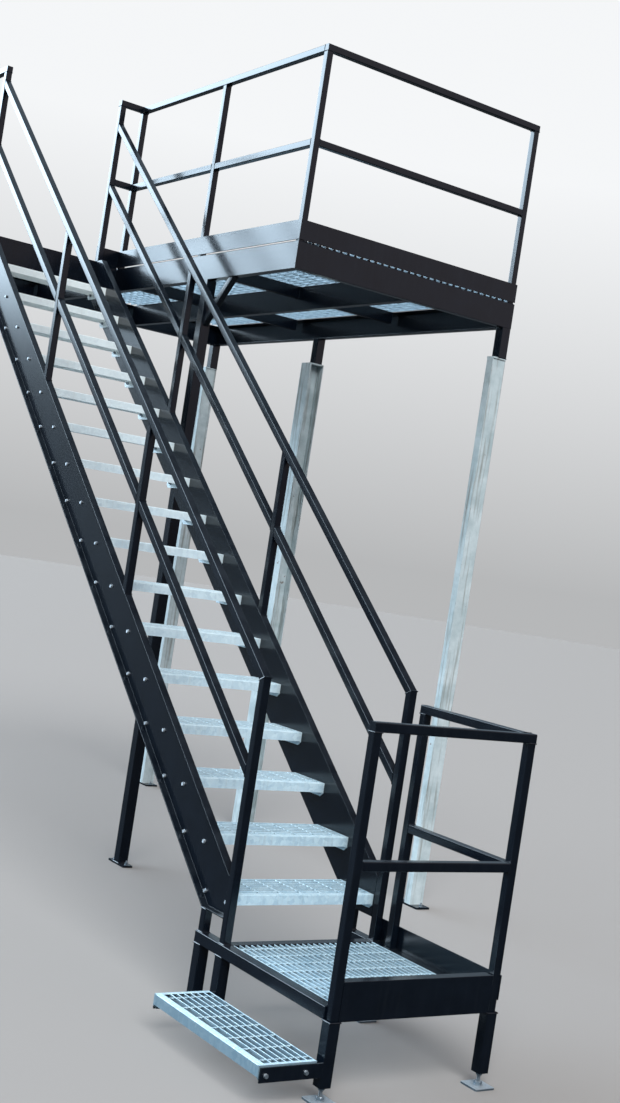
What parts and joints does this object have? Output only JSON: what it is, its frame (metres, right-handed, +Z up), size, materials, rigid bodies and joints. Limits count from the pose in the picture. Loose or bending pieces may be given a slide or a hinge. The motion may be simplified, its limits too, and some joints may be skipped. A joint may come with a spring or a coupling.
{
  "type": "fire escape stair",
  "caption": "Straight steel flight with open grating treads between a low landing on adjustable feet and a high railed platform on square columns.",
  "frame": {"origin": "on the ground, under the centre of the landing's front left foot", "axes": "+X across the flight towards the building's wall, +Y the way the flight climbs, +Z up"},
  "size_m": [2.8325, 6.169, 4.8],
  "materials": {
    "paint": "glossy black paint",
    "pale_paint": "weathered pale grey-green paint",
    "galvanised": "dull hot-dip galvanised zinc"
  },
  "bodies": {
    "root": {"levelling_feet": "galvanised", "landing_legs": "paint", "landing_side_beams": "paint", "landing_cross_beams": "paint", "landing_front_channel": "paint", "landing_grating": "galvanised", "landing_toe_plate": "paint", "landing_posts": "paint", "landing_front_rails": "paint", "landing_side_rails": "paint", "entry_step": "galvanised", "step_arms": "paint", "left_stringer": "paint", "right_stringer": "paint", "stringer_struts": "paint", "tread_01": "galvanised", "tread_02": "galvanised", "tread_03": "galvanised", "tread_04": "galvanised", "tread_05": "galvanised", "tread_06": "galvanised", "tread_07": "galvanised", "tread_08": "galvanised", "tread_09": "galvanised", "tread_10": "galvanised", "tread_11": "galvanised", "tread_12": "galvanised", "tread_13": "galvanised", "tread_14": "galvanised", "tread_15": "galvanised", "tread_16": "galvanised", "left_flight_posts": "paint", "right_flight_posts": "paint", "flight_top_rails": "paint", "flight_middle_rails": "paint", "columns": "paint", "stub_legs": "paint", "wall_side_columns": "pale_paint", "column_bases": "paint", "knee_brace": "paint", "platform_front_channel": "paint", "platform_far_channel": "paint", "platform_side_channels": "paint", "top_landing_front_channel": "paint", "top_landing_left_channel": "paint", "platform_joists": "paint", "platform_grating_front": "galvanised", "platform_grating_middle": "galvanised", "platform_grating_far": "galvanised", "top_landing_grating": "galvanised", "front_toe_plates": "paint", "side_toe_plates": "paint", "platform_posts": "paint", "platform_front_rails": "paint", "platform_left_rails": "paint", "return_rails": "paint", "top_landing_rails": "paint"}
  },
  "joints": []
}
